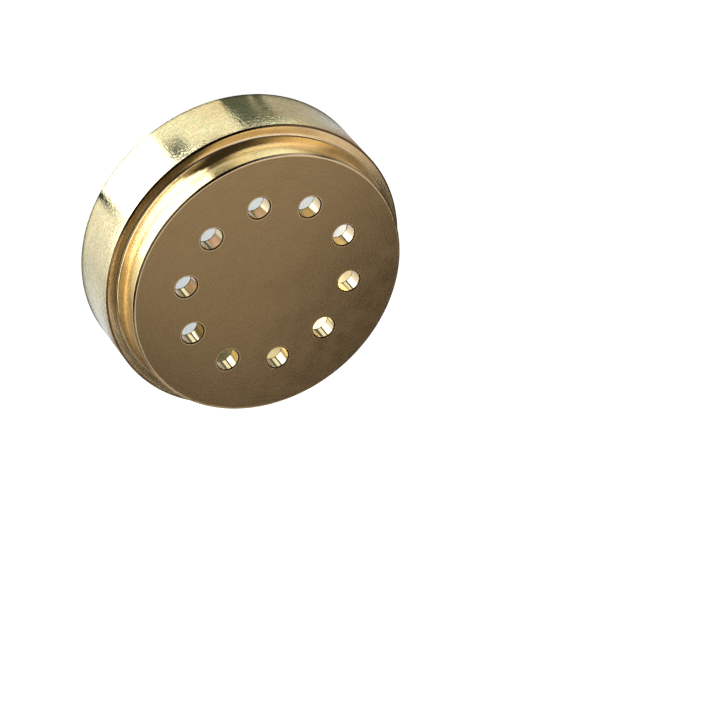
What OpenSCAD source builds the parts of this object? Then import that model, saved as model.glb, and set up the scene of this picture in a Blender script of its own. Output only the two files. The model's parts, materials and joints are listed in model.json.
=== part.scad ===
// Pasta extrusion die: a turned bronze cup with a stepped rim. Dough is pushed into the hollow
// back, the chamber, and leaves as round strands through a ring of holes in the front wall.
// The axis is Z. The flat back rim lies on Z = 0 and the front face points up, so the strands
// leave along +Z. The first strand hole is on the +X side.

/* [Flange] */
// Outer diameter of the flange, which sits in the extruder's barrel
flange_d = 57; // [50:0.5:80]
// Thickness of the flange, from the back rim to the shoulder
flange_h = 12.6; // [8:0.1:20]
// Chamfer on the flange's edge at the shoulder
flange_edge = 0.3; // [0.1:0.05:0.8]
// Chamfer on the flange's edge at the back rim
back_edge = 0.3; // [0.1:0.05:0.8]

/* [Nose] */
// Width of the flat shoulder that the ring nut presses on
shoulder_w = 2.55; // [1.6:0.05:4]
// Height of the nose above the shoulder
nose_h = 6.3; // [4:0.1:12]
// Chamfer on the edge of the front face
nose_edge = 0.3; // [0.1:0.05:0.8]
// Height of the shallow cove at the foot of the nose
root_h = 3.2; // [1.6:0.1:3.4]
// How far the cove flares out over the shoulder
root_w = 0.55; // [0.2:0.05:1.2]

/* [Dough chamber] */
// Wall left between the chamber and the outside of the nose
nose_wall = 2.05; // [1.5:0.05:5]
// Thickness of the front wall that the strand holes go through
front_wall = 3.5; // [2.5:0.1:6]
// Radius of the corner between the chamber's side and its floor
chamber_corner_r = 1.2; // [0.4:0.1:2]
// Chamfer on the inner edge of the chamber's mouth
mouth_edge = 0.6; // [0.2:0.05:1.2]

/* [Strand holes] */
// Number of strand holes
hole_count = 10; // [4:1:14]
// Diameter of a strand hole, which sets the thickness of the pasta
hole_d = 4.1; // [2:0.1:6]
// Distance from the chamber's side to the centre of a strand hole
hole_inset = 7.8; // [5:0.1:11]
// Edge break on a strand hole at the front face
hole_edge = 0.2; // [0.05:0.01:0.3]
// Countersink on a strand hole at the chamber's floor
hole_lead_in = 0.3; // [0.1:0.05:0.6]

/* [Hidden] */
$fn = 96;

flange_r = flange_d / 2;
nose_r = flange_r - shoulder_w;
total_h = flange_h + nose_h;
// Radius of the arc that starts straight up the nose's side and ends on the shoulder
root_r = (root_h * root_h + root_w * root_w) / (2 * root_w);
chamber_r = nose_r - nose_wall;
chamber_h = total_h - front_wall;
hole_r = hole_d / 2;
hole_circle_r = chamber_r - hole_inset;
hole_step = 360 / hole_count;

// How far a cutting shape runs past the face it cuts, so that no skin is left
overrun = 1;

// Outline of the turned blank: half of its section, with the axis on the left
module blank_section() {
    polygon([
        [0, 0],
        [flange_r - back_edge, 0],
        [flange_r, back_edge],
        [flange_r, flange_h - flange_edge],
        [flange_r - flange_edge, flange_h],
        [nose_r, flange_h],
        [nose_r, total_h - nose_edge],
        [nose_r - nose_edge, total_h],
        [0, total_h]
    ]);
    translate([nose_r, flange_h]) root_cove_section();
}

// Section of the cove where the nose runs out into the shoulder, sunk a little into the blank
module root_cove_section() {
    sunk = root_w;
    difference() {
        translate([-sunk, -sunk]) square([root_w + sunk, root_h + sunk]);
        translate([root_r, root_h]) circle(root_r);
    }
}

// Half section of the hollow bored into the back: a side, a rounded corner and a flat floor
module chamber_section() {
    translate([0, -overrun]) square([chamber_r, chamber_h - chamber_corner_r + overrun]);
    translate([0, -overrun]) square([chamber_r - chamber_corner_r, chamber_h + overrun]);
    translate([chamber_r - chamber_corner_r, chamber_h - chamber_corner_r])
        circle(chamber_corner_r);
    polygon([
        [0, -overrun],
        [chamber_r + mouth_edge + overrun, -overrun],
        [chamber_r, mouth_edge],
        [0, mouth_edge]
    ]);
}

// Cutting shape of one strand hole, on its own axis: the straight land that forms the strand,
// the edge break at the front face and the countersink at the chamber's floor
module strand_hole() {
    cut_bottom = chamber_h - overrun;
    translate([0, 0, cut_bottom])
        cylinder(r = hole_r, h = front_wall + 2 * overrun);
    translate([0, 0, total_h - hole_edge])
        cylinder(r1 = hole_r, r2 = hole_r + hole_edge + overrun, h = hole_edge + overrun);
    translate([0, 0, cut_bottom])
        cylinder(r1 = hole_r + hole_lead_in + overrun, r2 = hole_r, h = hole_lead_in + overrun);
}

// The whole die, turned from one piece and drilled
module die_body() {
    color("peru")
    difference() {
        rotate_extrude() difference() {
            blank_section();
            chamber_section();
        }
        for (i = [0 : hole_count - 1])
            rotate(i * hole_step)
                translate([hole_circle_r, 0, 0])
                    strand_hole();
    }
}

die_body();
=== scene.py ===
import json
import math

import bmesh
import bpy
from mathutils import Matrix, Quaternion, Vector


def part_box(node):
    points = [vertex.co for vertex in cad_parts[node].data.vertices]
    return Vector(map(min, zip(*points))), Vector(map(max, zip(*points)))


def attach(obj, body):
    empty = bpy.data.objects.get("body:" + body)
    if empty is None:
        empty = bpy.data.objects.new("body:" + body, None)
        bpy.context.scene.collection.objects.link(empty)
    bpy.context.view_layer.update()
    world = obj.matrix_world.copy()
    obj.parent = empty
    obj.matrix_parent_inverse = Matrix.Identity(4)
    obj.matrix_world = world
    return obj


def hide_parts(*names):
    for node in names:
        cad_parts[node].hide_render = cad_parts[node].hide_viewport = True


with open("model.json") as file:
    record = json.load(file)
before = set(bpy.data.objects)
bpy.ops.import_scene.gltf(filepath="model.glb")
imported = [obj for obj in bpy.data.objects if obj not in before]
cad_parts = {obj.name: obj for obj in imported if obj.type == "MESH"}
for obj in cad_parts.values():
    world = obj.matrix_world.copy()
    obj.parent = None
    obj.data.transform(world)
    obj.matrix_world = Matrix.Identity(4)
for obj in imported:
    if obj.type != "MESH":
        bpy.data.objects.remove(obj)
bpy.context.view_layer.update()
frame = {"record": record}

# The die's body: a stepped cup of bronze, turned from bar on a lathe and bored from the back.
# The flange sits in the extruder's barrel, a ring nut presses on the shoulder, and the nose
# passes through the nut. All sharp corners are broken so that the die can be handled.
mm = 0.001
mounts = {mount["name"]: mount for mount in frame["record"]["mounts"]}


def wall(name):
    """The radius of a round wall, and the heights at which its straight part starts and ends."""
    sizes = mounts[name]["dims"]
    middle = mounts[name]["pos_m"][2]
    half = sizes["length_mm"] * mm / 2
    return sizes["r_mm"] * mm, middle - half, middle + half


back_z, front_z = (corner.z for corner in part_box("die_body"))
shoulder_mid, _, shoulder_z = mounts["shoulder"]["pos_m"]
flange_r, flange_low, flange_top = wall("flange")
nose_r, nose_low, nose_top = wall("nose")
chamber_r, chamber_low, chamber_top = wall("dough_chamber")

# No mount gives the thickness of the front wall, which the strand holes go through
front_wall = 3.5 * mm
chamber_z = front_z - front_wall

# Edge breaks and corner radii follow from where each straight wall ends
flange_edge = shoulder_z - flange_top
back_edge = flange_low - back_z
nose_edge = front_z - nose_top
mouth_edge = chamber_low - back_z
chamber_corner_r = chamber_z - chamber_top

# Sizes of the finer mesh. Wear rounds each broken edge a little. A flat ring is turned with the
# body at each end of its outline: in front it takes the shoulder's brighter finish as a painted
# highlight along the face's rim, and at the back it gives the chamber's floor, which is filled in
# later, its border.
worn_edge_r = 0.04 * mm
rim_w = 0.2 * mm
worn_segments = 3
round_segments = 12
turn_steps = 240
weld = 0.001 * mm

# The nose runs out into the shoulder in a long shallow cove, and the tool's tip leaves a small
# fillet at its foot. Each is an arc, and the fillet starts where the two arcs have one direction.
# The shoulder's mount is in the middle of the flat ring that is left outside the cove.
root_h = nose_low - shoulder_z
root_w = 2 * shoulder_mid - (flange_r - flange_edge) - nose_r
root_r = (root_h ** 2 + root_w ** 2) / (2 * root_w)
fillet_r = 0.6 * mm
meet = math.asin((root_h - fillet_r) / (root_r - fillet_r))


def hollow_arc(r, z, radius, start, end, steps):
    """Points of an outline along a hollow arc about (r, z), turning from start to end."""
    points = []
    for step in range(steps + 1):
        angle = start + (end - start) * step / steps
        points.append((r - radius * math.cos(angle), z - radius * math.sin(angle), 0))
    return points


cove = hollow_arc(nose_r + root_r, shoulder_z + root_h, root_r, 0, meet, 2 * round_segments)
fillet_at = nose_r + root_r - (root_r - fillet_r) * math.cos(meet)
fillet = hollow_arc(fillet_at, shoulder_z + fillet_r, fillet_r, meet, math.pi / 2, round_segments)

outline = [
    (nose_r - nose_edge - rim_w, front_z, 0),
    (nose_r - nose_edge, front_z, worn_edge_r),
    (nose_r, nose_top, worn_edge_r),
    *cove,
    *fillet[1:],
    (flange_r - flange_edge, shoulder_z, worn_edge_r),
    (flange_r, flange_top, worn_edge_r),
    (flange_r, flange_low, worn_edge_r),
    (flange_r - back_edge, back_z, worn_edge_r),
    (chamber_r + mouth_edge, back_z, worn_edge_r),
    (chamber_r, chamber_low, worn_edge_r),
    (chamber_r, chamber_z, chamber_corner_r),
    (chamber_r - chamber_corner_r - rim_w, chamber_z, 0),
]


def turned(half_section, steps):
    """Spins an outline of (radius, height, corner radius) about Z, as a lathe would cut it."""
    mesh = bmesh.new()
    points = [mesh.verts.new((r, 0, z)) for r, z, _ in half_section]
    for pair in zip(points, points[1:]):
        mesh.edges.new(pair)
    for point, (_, _, corner) in zip(points, half_section):
        if corner:
            bmesh.ops.bevel(
                mesh, geom=[point], offset=corner, offset_type="OFFSET", affect="VERTICES",
                segments=worn_segments if corner == worn_edge_r else round_segments,
                profile=0.5, material=-1)
    bmesh.ops.spin(
        mesh, geom=[*mesh.verts, *mesh.edges], cent=(0, 0, 0), axis=(0, 0, 1),
        angle=math.tau, steps=steps, use_merge=True)
    bmesh.ops.remove_doubles(mesh, verts=mesh.verts, dist=weld)
    return mesh


# Each surface has the finish that its cut, and the wear since, leave on it, but the flange's edge
# break takes a dark finish that is painted shade. The nose's finish goes on down into the fillet, until
# the fillet has turned this far from upright.
FACE, NOSE, SHOULDER, FLANGE, HOLE, CHAMBER, EDGE, RIM, HOLE_EDGE = range(9)
nose_finish_turn = math.radians(36)
nose_finish_z = shoulder_z + fillet_r * (1 - math.sin(nose_finish_turn))
die_mesh = turned(outline, turn_steps)
for face in die_mesh.faces:
    middle = face.calc_center_median()
    # The flat ring round the face's rim takes the shoulder's brighter finish: a painted highlight
    if middle.z > front_z - weld:
        face.material_index = SHOULDER
    elif middle.xy.length < chamber_r + mouth_edge:
        face.material_index = CHAMBER
    elif middle.z > nose_top + weld:
        face.material_index = RIM
    elif middle.z > nose_finish_z:
        face.material_index = NOSE
    elif middle.z > shoulder_z - weld:
        face.material_index = SHOULDER
    # The flange's edge break takes the dark finish: painted shade
    elif middle.z > flange_top:
        face.material_index = EDGE
    else:
        face.material_index = FLANGE

# The strand holes: drilled through the front wall on one circle and reamed to size. Each has
# a fine edge break at the front face, a straight land that forms the strand, and a countersink
# at the chamber's floor that leads the dough in. A ring of the shoulder's brighter finish round it in
# front is a painted highlight.
hole_steps = 96
halo_w = 0.12 * mm
hole_names = [name for name in mounts if name.startswith("strand_hole")]
hole_r, land_low, land_top = wall(hole_names[0])
hole_edge = front_z - land_top
lead_in = land_low - chamber_z
hole_outline = [
    (hole_r + hole_edge + halo_w, front_z, 0),
    (hole_r + hole_edge, front_z, worn_edge_r),
    (hole_r, land_top, worn_edge_r),
    (hole_r, land_low, worn_edge_r),
    (hole_r + lead_in, chamber_z, worn_edge_r),
    (hole_r + lead_in + rim_w, chamber_z, 0),
]
hole_mesh = turned(hole_outline, hole_steps)
for face in hole_mesh.faces:
    middle = face.calc_center_median()
    # The flat ring round the hole takes the shoulder's brighter finish: a painted highlight
    if middle.z > front_z - weld:
        face.material_index = SHOULDER
    elif middle.z < chamber_z + weld:
        face.material_index = CHAMBER
    # The edge break and the countersink take a near-black finish: painted shade round the hole's front
    # and at the back of its land
    elif middle.z > land_top or middle.z < land_low:
        face.material_index = HOLE_EDGE
    else:
        face.material_index = HOLE
hole_data = bpy.data.meshes.new("strand_hole")
hole_mesh.to_mesh(hole_data)
hole_mesh.free()
for name in hole_names:
    known = len(die_mesh.verts)
    die_mesh.from_mesh(hole_data)
    die_mesh.verts.ensure_lookup_table()
    x, y, _ = mounts[name]["pos_m"]
    bmesh.ops.translate(die_mesh, verts=die_mesh.verts[known:], vec=(x, y, 0))
bpy.data.meshes.remove(hole_data)

# The two sides of the front wall are flat, and fill in between the rim and the holes
for height, finish in ((front_z, FACE), (chamber_z, CHAMBER)):
    borders = [
        edge for edge in die_mesh.edges
        if edge.is_boundary and all(abs(vert.co.z - height) < weld for vert in edge.verts)
    ]
    made = bmesh.ops.triangle_fill(die_mesh, edges=borders, use_beauty=True, normal=(0, 0, 1))
    for element in made["geom"]:
        if isinstance(element, bmesh.types.BMFace):
            element.material_index = finish
bmesh.ops.recalc_face_normals(die_mesh, faces=die_mesh.faces)
for face in die_mesh.faces:
    face.smooth = True

sharp_angle = math.radians(5)
mesh_data = bpy.data.meshes.new("die_body_turned")
die_mesh.to_mesh(mesh_data)
die_mesh.free()
mesh_data.set_sharp_from_angle(angle=sharp_angle)
die = bpy.data.objects.new("die_body_turned", mesh_data)
bpy.context.collection.objects.link(die)


# The finishes: all are the same bronze. The face is lapped to a dull satin, the flange and nose
# are turned bright with a fine feed, and the holes are reamed. Use has left nicks and pits on them.
# The dark marks on the nose's edge, along the flange's edge, in the shoulder's corner, on the holes'
# edge breaks and at the back of their lands are painted shade.


class Wire:
    """One value inside a material. Sums and products of wires, or of a wire and a number,
    add the Math nodes that work them out."""

    def __init__(self, tree, socket=None):
        self.tree = tree
        self.socket = socket

    def add(self, kind, settings=None, inputs=None, output=0):
        """Adds a node of one kind, makes its settings, then sets or links its inputs."""
        node = self.tree.nodes.new(kind)
        for name, value in (settings or {}).items():
            if name == "stops":
                self.set_stops(node.color_ramp, value)
            else:
                setattr(node, name, value)
        for name, value in (inputs or {}).items():
            if isinstance(value, Wire):
                self.tree.links.new(value.socket, node.inputs[name])
            else:
                node.inputs[name].default_value = value
        return Wire(self.tree, node.outputs[output]) if node.outputs else None

    @staticmethod
    def set_stops(ramp, stops):
        """Gives a ramp its stops, as (position, colour)."""
        while len(ramp.elements) < len(stops):
            ramp.elements.new(1.0)
        for element, (position, colour) in zip(ramp.elements, stops):
            element.position = position
            element.color = colour

    def beside(self, output):
        """Another output of the node that this wire comes from."""
        return Wire(self.tree, self.socket.node.outputs[output])

    def math(self, operation, *others):
        """A Math node that starts with this wire."""
        return self.add("ShaderNodeMath", {"operation": operation}, dict(enumerate((self, *others))))

    def __add__(self, other):
        return self.math("ADD", other)

    def __sub__(self, other):
        return self.math("SUBTRACT", other)

    def __mul__(self, other):
        return self.math("MULTIPLY", other)

    def __truediv__(self, other):
        return self.math("DIVIDE", other)

    def __neg__(self):
        return self.math("MULTIPLY", -1.0)

    def __rsub__(self, other):
        return self.add("ShaderNodeMath", {"operation": "SUBTRACT"}, {0: other, 1: self})

    def __rtruediv__(self, other):
        return self.add("ShaderNodeMath", {"operation": "DIVIDE"}, {0: other, 1: self})

    __radd__ = __add__
    __rmul__ = __mul__

    def clamp_range(self, low, high):
        """0 below low, 1 above high, and a smooth step between them."""
        return self.add(
            "ShaderNodeMapRange", {"interpolation_type": "SMOOTHSTEP"},
            {"Value": self, "From Min": low, "From Max": high})

    def mix_colour(self, first, second):
        """The first colour where this wire is 0, the second where it is 1."""
        first_socket, second_socket, mixed_socket = 6, 7, 2
        return self.add(
            "ShaderNodeMix", {"data_type": "RGBA"},
            {"Factor": self, first_socket: first, second_socket: second}, output=mixed_socket)

    def parts(self):
        """The three parts of a vector."""
        first = self.add("ShaderNodeSeparateXYZ", None, {"Vector": self})
        return [first.beside(index) for index in range(3)]


def emptied(owner):
    """A wire with no value yet, to start from in the emptied nodes of a material or a world."""
    owner.use_nodes = True
    owner.node_tree.nodes.clear()
    return Wire(owner.node_tree)


def shades(colour, factor=1):
    """A colour as nodes take it, with its light made stronger or weaker."""
    return (*(part * factor for part in colour), 1)


def noise(place, scale, detail):
    """Smooth noise about 0, from about -0.5 to 0.5, with lumps of 1 / scale metres."""
    lumps = place.add("ShaderNodeTexNoise", None, {"Vector": place, "Scale": scale, "Detail": detail})
    return lumps - 0.5


def stretched(place, along):
    """The same place on a grid that is drawn out along the axis."""
    return place.add("ShaderNodeMapping", None, {"Vector": place, "Scale": (1, 1, 1 / along)})


def window(value, low, high, soft):
    """1 between low and high, with soft sides."""
    return value.clamp_range(low - soft, low + soft) * (1 - value.clamp_range(high - soft, high + soft))


# Bearings round the axis are measured from the side that faces the camera, which lies at this
# angle from +X, and they grow towards the left of the picture
camera_side = math.radians(-80.79)


def polar(place):
    """Distance from the axis, bearing round it and height."""
    x, y, z = place.add(
        "ShaderNodeVectorRotate", {"rotation_type": "Z_AXIS"},
        {"Vector": place, "Angle": -camera_side}).parts()
    square = x * x + y * y
    return square.math("SQRT"), y.math("ARCTAN2", x), z


def sector(place, first, last, soft):
    """1 between two bearings in degrees, with soft ends."""
    _, turn, _ = polar(place)
    return window(turn, math.radians(first), math.radians(last), math.radians(soft))


def turning_marks(place, pitch, run):
    """Fine marks that run round the axis, about 0. The larger the run, the sooner one fades."""
    radius, turn, height = polar(place)
    across = place.add("ShaderNodeCombineXYZ", None, {
        0: radius / pitch, 1: height / pitch, 2: turn.math("COSINE") * run})
    marks = place.add(
        "ShaderNodeTexNoise", {"noise_dimensions": "4D"},
        {"Vector": across, "W": turn.math("SINE") * run, "Scale": 1.0, "Detail": 2.0})
    return marks - 0.5


def dents(place, spacing, size, share):
    """Dark in small dents, about one in each cell of a grid, in a share of the cells."""
    depth = 0.8
    soft = 0.01
    reach = size / spacing
    cells = place.add("ShaderNodeTexVoronoi", None, {"Vector": place, "Scale": 1 / spacing})
    pick = cells.add("ShaderNodeRGBToBW", None, {"Color": cells.beside("Color")})
    near = 1 - cells.clamp_range(reach / 2, reach)
    return near * (1 - pick.clamp_range(share - soft, share + soft)) * depth


def face_wear(place):
    """Pits in the face, and the faint ring that the tool leaves where it reaches the centre."""
    ring_in, ring_mid, ring_out = 0.55 * mm, 0.70 * mm, 0.90 * mm
    ring_depth = 0.22
    radius, _, _ = polar(place)
    ring = radius.clamp_range(ring_in, ring_mid) * (1 - radius.clamp_range(ring_mid, ring_out))
    return ring * ring_depth + dents(place, spacing=6 * mm, size=0.16 * mm, share=0.25)


def flange_wear(place):
    """Short nicks along the flange."""
    nick_draw = 1.6
    return dents(stretched(place, nick_draw), spacing=4.5 * mm, size=0.22 * mm, share=0.25)


def nose_foot_shade(place):
    """Painted shade in the corner at the foot of the nose, on one side."""
    corner_in, corner_out, corner_soft = nose_r + 0.4 * mm, nose_r + 0.9 * mm, 0.08 * mm
    shade_depth = 0.75
    radius, _, _ = polar(place)
    corner = window(radius, corner_in, corner_out, corner_soft)
    return corner * sector(place, -8, 64, soft=9) * shade_depth


def rim_shade(place):
    """Painted shade on one side of the nose's edge."""
    shade_depth = 0.95
    return sector(place, -22, 56, soft=9) * shade_depth


def flange_edge_shade(place):
    """Painted shade along the near side of the flange's edge, weaker at its right end."""
    thin_shade_depth = 0.4
    return sector(place, -36, 32, soft=8) + sector(place, -50, -36, soft=8) * thin_shade_depth


def land_end_shade(place):
    """Painted shade at the back end of the land."""
    full_shade_z, unshaded_z = land_low + 0.1 * mm, land_low + 0.4 * mm
    shade_depth = 0.9
    _, _, height = polar(place)
    return (1 - height.clamp_range(full_shade_z, unshaded_z)) * shade_depth


micron = 1e-6


def bronze(name, colour, dark, roughness, anisotropy=0.0, mottle=1.5, pitch=0.22 * mm,
           mark_height=4 * micron, grain=0.3 * mm, draw=1.0, grain_height=4 * micron,
           stain_and_shade=None, patina=()):
    """Cut bronze. Its tone runs from dark to colour, and mottle is how far it varies. Turning
    marks have a pitch and a height; the finer grain has a size, a draw along the axis and a
    height. The stain function gives, at a place, the share of nicks and pits on some finishes and of
    painted shade on others. Each patina is a tint with the width and the run of its streaks."""
    clouds_per_metre = 260
    cloud_tone, cloud_rough = 1.2, 0.5
    speck_rough = 0.6
    mark_run, mark_tone = 9, 0.6
    streak_start, streak_full, patina_share = 0.02, 0.16, 0.4
    stain_and_shade_level = 0.07
    quarter_turn = 0.25
    material = bpy.data.materials.new(name)
    place = emptied(material).add("ShaderNodeTexCoord", output="Object")
    lines = turning_marks(place, pitch, mark_run)
    specks = noise(stretched(place, draw), 1 / grain, detail=2.0)
    cloud = noise(place, clouds_per_metre, detail=3.0)
    tone = 0.5 + cloud * cloud_tone + specks * mottle + lines * (mottle * mark_tone)
    base = tone.clamp_range(0.0, 1.0).mix_colour(shades(dark), shades(colour))
    for tint, width, run in patina:
        streaks = turning_marks(place, width, run).clamp_range(streak_start, streak_full)
        base = (streaks * patina_share).mix_colour(base, shades(tint))
    # Real nicks and pits, and painted shade, darken the base towards the dark tone
    if stain_and_shade:
        base = stain_and_shade(place).mix_colour(base, shades(dark, stain_and_shade_level))
    rough = roughness * (1 + cloud * cloud_rough + specks * speck_rough)
    height = lines * mark_height + specks * grain_height
    normal = place.add("ShaderNodeBump", None, {"Height": height, "Distance": 1.0, "Strength": 1.0})
    surface = place.add("ShaderNodeBsdfPrincipled", None, {
        "Base Color": base, "Roughness": rough, "Metallic": 1.0, "Normal": normal,
        "Anisotropic": anisotropy, "Anisotropic Rotation": quarter_turn})
    place.add("ShaderNodeOutputMaterial", None, {"Surface": surface})
    return material


copper_tint = (0.90, 0.64, 0.47)
green_tint = (0.62, 0.68, 0.46)
finishes = {
    FACE: bronze(
        "lapped_face", colour=(0.40, 0.265, 0.13), dark=(0.32, 0.21, 0.098), roughness=0.27,
        anisotropy=0.3, mottle=2.0, mark_height=6 * micron, grain_height=6 * micron, stain_and_shade=face_wear),
    NOSE: bronze(
        "turned_nose", colour=(0.96, 0.80, 0.43), dark=(0.84, 0.66, 0.32), roughness=0.09,
        mottle=2.4, mark_height=6 * micron, grain_height=16 * micron),
    # The corner at the foot of the nose is darkened on one side by painted shade
    SHOULDER: bronze(
        "turned_shoulder", colour=(0.95, 0.69, 0.38), dark=(0.81, 0.56, 0.29), roughness=0.16,
        anisotropy=0.3, mottle=1.6, mark_height=10 * micron, grain=0.25 * mm, grain_height=6 * micron,
        stain_and_shade=nose_foot_shade),
    FLANGE: bronze(
        "turned_flange", colour=(0.98, 0.89, 0.56), dark=(0.80, 0.69, 0.40), roughness=0.15,
        mottle=4.0, grain=0.42 * mm, draw=1.4, grain_height=85 * micron, stain_and_shade=flange_wear,
        patina=[(copper_tint, 0.9 * mm, 12), (green_tint, 1.1 * mm, 15)]),
    # The back end of each hole's land is darkened by painted shade
    HOLE: bronze(
        "reamed_hole", colour=(0.94, 0.80, 0.52), dark=(0.82, 0.66, 0.38), roughness=0.12,
        mottle=1.0, mark_height=2 * micron, grain_height=2 * micron, stain_and_shade=land_end_shade),
    CHAMBER: bronze(
        "bored_chamber", colour=(0.88, 0.70, 0.40), dark=(0.74, 0.56, 0.28), roughness=0.28,
        anisotropy=0.5, pitch=0.25 * mm, mark_height=10 * micron, grain_height=6 * micron),
    # The flange's edge break is dark all round and darker on its near side: painted shade
    EDGE: bronze(
        "broken_edge", colour=(0.34, 0.22, 0.115), dark=(0.26, 0.165, 0.08), roughness=0.30,
        stain_and_shade=flange_edge_shade),
    # The nose's edge is darkened on one side by painted shade
    RIM: bronze(
        "burnished_rim", colour=(0.92, 0.73, 0.48), dark=(0.80, 0.62, 0.38), roughness=0.14,
        stain_and_shade=rim_shade),
    # Near-black painted shade on the holes' edge breaks and countersinks
    HOLE_EDGE: bronze(
        "stained_hole_edge", colour=(0.065, 0.046, 0.024), dark=(0.04, 0.029, 0.015), roughness=0.30),
}
for index in range(len(finishes)):
    mesh_data.materials.append(finishes[index])

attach(die, "root")
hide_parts("die_body")

# The floor: a pale sweep of studio paper that the die stands on. To the camera it is white and
# takes the die's soft shadow. The bright metal mirrors the paper close by, which glows for mirrored
# rays only, in painted patches of light and shade.
floor_drop = 0.05 * mm
floor_reach = 3.0
floor_mesh = bmesh.new()
bmesh.ops.create_grid(floor_mesh, x_segments=1, y_segments=1, size=floor_reach)
bmesh.ops.translate(floor_mesh, verts=floor_mesh.verts, vec=(0, 0, back_z - floor_drop))
floor_data = bpy.data.meshes.new("floor")
floor_mesh.to_mesh(floor_data)
floor_mesh.free()
floor = bpy.data.objects.new("floor", floor_data)
bpy.context.collection.objects.link(floor)

# Tones of the painted light and shade on the paper, where 1 is as bright as white paper shows to the
# camera
brightest = 3.0
white = (brightest, brightest, brightest)
bright = (1.10, 1.08, 1.02)
cool = (0.68, 0.70, 0.71)
pale = (0.88, 0.92, 1.08)
cream = (1.08, 1.10, 0.98)
straw = (0.84, 0.88, 0.82)
olive = (0.46, 0.43, 0.37)
grey = (0.58, 0.59, 0.62)
shade = (0.05, 0.075, 0.08)
moss = (0.125, 0.15, 0.135)
half_shade = (0.12, 0.14, 0.11)
gold_far = (0.42, 0.37, 0.29)
gold_near = (0.92, 0.82, 0.64)
glow = (1.20, 1.24, 1.15)
umber = (0.24, 0.20, 0.15)
rust = (0.36, 0.26, 0.20)
gloom_tone = (0.04, 0.03, 0.022)
open_back = (0.90, 0.85, 1.40)


def ring_of_tones(turn, tones):
    """Tones that change round the die, given as (bearing in degrees, tone) from right to left.
    A ramp's colours end at 1, so each is a share of the brightest."""
    stops = [(0.5 + degrees / 360, shades(tone, 1 / brightest)) for degrees, tone in tones]
    return turn.add("ShaderNodeValToRGB", {"stops": stops}, {"Fac": turn / math.tau + 0.5})


# The flange is a round mirror, and shows each spot of the paper at a bearing nearer to the
# camera's side than the spot's own. The camera looks down on it at sight_rise, so its top edge
# shows the spots that lie at edge_reach, and the nose shows what lies past them.
paper = bpy.data.materials.new("studio_paper")
place = emptied(paper).add("ShaderNodeTexCoord", output="Object")
reach, bearing, _ = polar(place)
seen_bearing = bearing - (1 - flange_r / reach) * bearing.math("SINE")
sight_rise = math.radians(51.3)
run = flange_top / math.tan(sight_rise)
edge_square = seen_bearing.math("COSINE") * (2 * flange_r * run) + (flange_r ** 2 + run ** 2)
edge_reach = edge_square.math("SQRT")
past = reach - edge_reach

# What shows in the flange, from its foot to its top edge. Far right and far left it is the same.
far_right = [
    (-180, grey), (-80, grey), (-58, olive), (-47.5, olive), (-46, half_shade), (-43.5, half_shade),
    (-42, olive)]
far_left = [(28.5, bright), (54, cool), (90, pale), (180, pale)]
foot_light = ring_of_tones(seen_bearing, [
    *far_right, (-40.5, half_shade), (-31, half_shade), (-29.5, gold_near), (-10, cream),
    (-3, cream), (-1.5, white), (23.8, white), (25, shade), (27, shade), *far_left])
top_light = ring_of_tones(seen_bearing, [
    *far_right, (-40.5, moss), (-31, moss), (-29.5, cream), (-10.3, cream), (-9, shade),
    (-2.8, shade), (-1.4, white), (23.2, white), (24.4, straw), (27, straw), *far_left])
foot_end, top_start = 0.25, 0.7
along = (reach - flange_r) / (edge_reach - flange_r)
flange_light = along.clamp_range(foot_end, top_start).mix_colour(foot_light, top_light)

# What shows in the nose, where the tones lean to the left on their way up
nose_lean = math.radians(9)
lean_start, lean_end = 2 * mm, 10 * mm
leaning = past.clamp_range(lean_start, lean_end) * nose_lean
nose_light = ring_of_tones(seen_bearing - leaning, [
    (-180, rust), (-75, rust), (-62, gold_far), (-53, gold_near), (-46, glow), (-35, glow),
    (-24, gold_near), (-17, umber), (-10.5, umber), (-8.6, white), (32, white), (35, glow),
    (46, gold_near), (60, gold_far), (180, gold_far)])
top_edge_soft = 0.6 * mm
mirrored = past.clamp_range(-top_edge_soft, 0.0).mix_colour(flange_light, nose_light)

# On the right the paper further out has painted shade, which the nose shows as a dark crescent
gloom_start, gloom_soft = 3 * mm, 0.8 * mm
gloom_bend, gloom_slope = math.radians(14), 10.5 * mm
gloom_lean, gloom_nearest = 0.44 * mm, 1 * mm
gloom_side_start, gloom_side_full = math.radians(1), math.radians(3)
right_bearing = -seen_bearing
bent = (right_bearing - gloom_bend).math("MAXIMUM", 0.0)
gloom_side = right_bearing - gloom_lean / past.math("MAXIMUM", gloom_nearest)
gloom = (past - gloom_start - bent * gloom_slope).clamp_range(0.0, gloom_soft)
gloom = gloom * gloom_side.clamp_range(gloom_side_start, gloom_side_full)
mirrored = gloom.mix_colour(mirrored, shades(gloom_tone, 1 / brightest))

# Inside the die the paper shows through the holes in a cool painted shade, and lets mirrored light
# through, so that the holes' walls mirror the room. Close to the flange a painted contact shadow
# darkens what the metal mirrors.
hollow_shade = (0.47, 0.61, 0.71)
hollow_in, hollow_out = 20 * mm, 26 * mm
inside = 1 - reach.clamp_range(hollow_in, hollow_out)
contact_in, contact_out = flange_r + 0.2 * mm, flange_r + 0.7 * mm
contact_level = 0.14
clear_of_die = contact_level + reach.clamp_range(contact_in, contact_out) * (1 - contact_level)

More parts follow.
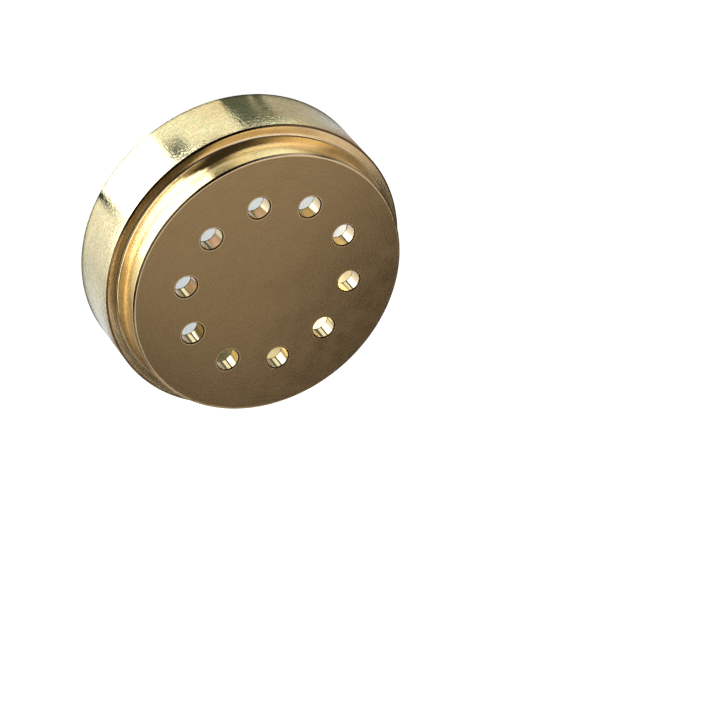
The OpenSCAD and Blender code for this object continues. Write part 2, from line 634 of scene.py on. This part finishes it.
# To the camera the paper's white is mostly its own level. The rest is the light that falls on it,
# so that the die's shadow shows.
own_level = 0.78
paper_white = 0.85
plain_white = (1, 1, 1)
to_camera = place.add("ShaderNodeLightPath", output="Is Camera Ray")
to_gloss = to_camera.beside("Is Glossy Ray")
to_glass = to_camera.beside("Is Transmission Ray")
seen_colour = inside.mix_colour(shades(plain_white), shades(hollow_shade))
shown_colour = to_gloss.mix_colour(seen_colour, mirrored)
strength = to_camera * own_level + to_gloss * clear_of_die * brightest + to_glass
lit = place.add("ShaderNodeEmission", None, {"Color": shown_colour, "Strength": strength})
share = (1 - to_gloss) * paper_white
share_colour = place.add("ShaderNodeCombineColor", None, {0: share, 1: share, 2: share})
shaded = place.add("ShaderNodeBsdfDiffuse", None, {"Color": share_colour})
sheet = place.add("ShaderNodeAddShader", None, {0: lit, 1: shaded})
clear = place.add("ShaderNodeBsdfTransparent")
sheet = place.add("ShaderNodeMixShader", None, {0: inside * to_gloss, 1: sheet, 2: clear})
place.add("ShaderNodeOutputMaterial", None, {"Surface": sheet})
floor_data.materials.append(paper)

# The studio: a dim room with soft patches of light on its walls and ceiling, and one panel light
# that hangs behind and above the die and faces it. To the camera the room is white.
world = bpy.data.worlds.new("studio")
bpy.context.scene.world = world
heading = emptied(world).add("ShaderNodeTexCoord", output="Generated")
_, bearing, up = polar(heading)
room_bearing = bearing * (180 / math.pi)
room_rise = up.math("ARCSINE") * (180 / math.pi)


def patch(bearings, side_soft, rises, end_soft, level):
    """Light from a soft-edged patch of the room, between two bearings and two rises in degrees."""
    return window(room_bearing, *bearings, side_soft) * window(room_rise, *rises, end_soft) * level


def ramped(start, end, first, last):
    """A level that goes from first to last between two bearings in degrees."""
    return first + room_bearing.clamp_range(start, end) * (last - first)


# Each patch has its bearings and their softness, its rises and their softness, and its level.
# One that ends over the top goes on up to the zenith. The room is never quite dark.
over_top = 180
dusk_level, dusk_overhead = 0.04, 0.05
front_light = patch((-17, 2), 4, (6, 34), 4, 0.35)
left_light = patch((2, 66), 5, (-4, 44.5), 2, 1.0)
left_crest = patch((8, 76), 5, (44.5, 50.5), 1, 2.8)
left_side = patch((64, 152), 6, (26, 50.5), 1, ramped(66, 116, 0.65, 0.2925))
low_left_side = patch((64, 150), 6, (-1, 26), 2, 0.14)
high_left_side = patch((50, 152), 20, (54, over_top), 3, 0.16)
far_left_crest = patch((76, 152), 8, (46, 51), 1, ramped(90, 136, 2.0, 0.6))
low_right_light = patch((-76, -54), 6, (4, 40), 4, 0.16)
right_side = patch((-108, -74), 14, (21, 44), 3, 0.9)
far_right_side = patch((-152, -98), 8, (0, 51), 3, 0.28)
right_crest = patch((-114, -44), 6, (44, 52), 2, ramped(-112, -76, 0.72, 1.8))
overhead_light = patch((-152, -38), 9, (51.5, over_top), 2.5, 0.6)
zenith_light = patch((-152, -34), 12, (74, over_top), 4, 0.4)
dusk = dusk_level + room_rise.clamp_range(56, 66) * dusk_overhead
above = sum((
    front_light, left_light, left_crest, left_side, low_left_side, high_left_side, far_left_crest,
    low_right_light, right_side, far_right_side, right_crest, overhead_light, zenith_light), dusk)

# Below the horizon, the tones follow half the bearing, because a mirror that is turned by an
# angle throws the view round by twice as much. The crest on the right is cool in the metal.
horizon_soft = 0.05
crest_tint = (0.96, 1.10, 1.60)
below_tones = ring_of_tones(bearing / 2, [
    (-180, open_back), (-70, open_back), (-62, olive), (-46, olive), (-44, half_shade), (-42, moss),
    (-31, moss), (-29.5, cream), (-14, cream), (-12.5, shade), (-5.5, shade), (-4, white),
    (23.8, white), (25, straw), (27, straw), (28.5, bright), (60, cool), (80, open_back)])
below = (-up).clamp_range(0.0, horizon_soft)
to_camera = heading.add("ShaderNodeLightPath", output="Is Camera Ray")
to_gloss = to_camera.beside("Is Glossy Ray")
crest_share = right_crest / above * to_gloss
above_tones = crest_share.mix_colour(shades(plain_white), shades(crest_tint))
room_colour = below.mix_colour(above_tones, below_tones)
room_level = above * (1 - below) + below * brightest
sky = heading.add("ShaderNodeBackground", None, {
    "Color": to_camera.mix_colour(room_colour, shades(plain_white)),
    "Strength": to_camera + (1 - to_camera) * room_level})
heading.add("ShaderNodeOutputWorld", None, {"Surface": sky})


def outward(turn, rise):
    """The direction away from the axis at an angle from +X, tilted up by a rise."""
    return Vector((math.cos(turn) * math.cos(rise), math.sin(turn) * math.cos(rise), math.sin(rise)))


panel_w = 0.128
panel_h = 0.103
panel_distance = 0.17
panel_bearing = math.radians(196)
panel_rise = math.radians(66)
panel_watts_per_area = 2.4
lamp = bpy.data.lights.new("back_panel", "AREA")
lamp.shape = "RECTANGLE"
lamp.size = panel_w
lamp.size_y = panel_h
lamp.energy = panel_watts_per_area * panel_w * panel_h
panel = bpy.data.objects.new("back_panel", lamp)
face_centre = Vector((0, 0, front_z))
from_face = outward(camera_side + panel_bearing, panel_rise)
panel.location = face_centre + from_face * panel_distance
panel.rotation_euler = from_face.to_track_quat("Z", "Y").to_euler()
panel.visible_camera = False
bpy.context.collection.objects.link(panel)

# The camera: it looks down on the front face from the side, with a long lens, and is rolled as
# the picture is. The focal length and the place of the face's centre are in the picture's pixels.
picture_px = 720
focal_px = 3353.8
face_right_px, face_down_px = 268.75, 284.21
camera_distance = 0.5969
camera_elevation = math.radians(49.33)
camera_roll = math.radians(139.8)
toward = outward(camera_side, camera_elevation)
pose = (-toward).to_track_quat("-Z", "Y") @ Quaternion((0, 0, 1), camera_roll)
metres_per_px = camera_distance / focal_px
offset_right = (face_right_px - picture_px / 2) * metres_per_px
offset_up = (picture_px / 2 - face_down_px) * metres_per_px
lens = bpy.data.cameras.new("camera")
lens.sensor_width = 36
lens.lens = focal_px / picture_px * lens.sensor_width
camera = bpy.data.objects.new("camera", lens)
camera.rotation_euler = pose.to_euler()
camera.location = face_centre + toward * camera_distance - pose @ Vector((offset_right, offset_up, 0))
bpy.context.collection.objects.link(camera)
bpy.context.scene.camera = camera

bpy.context.scene.view_settings.view_transform = "Standard"
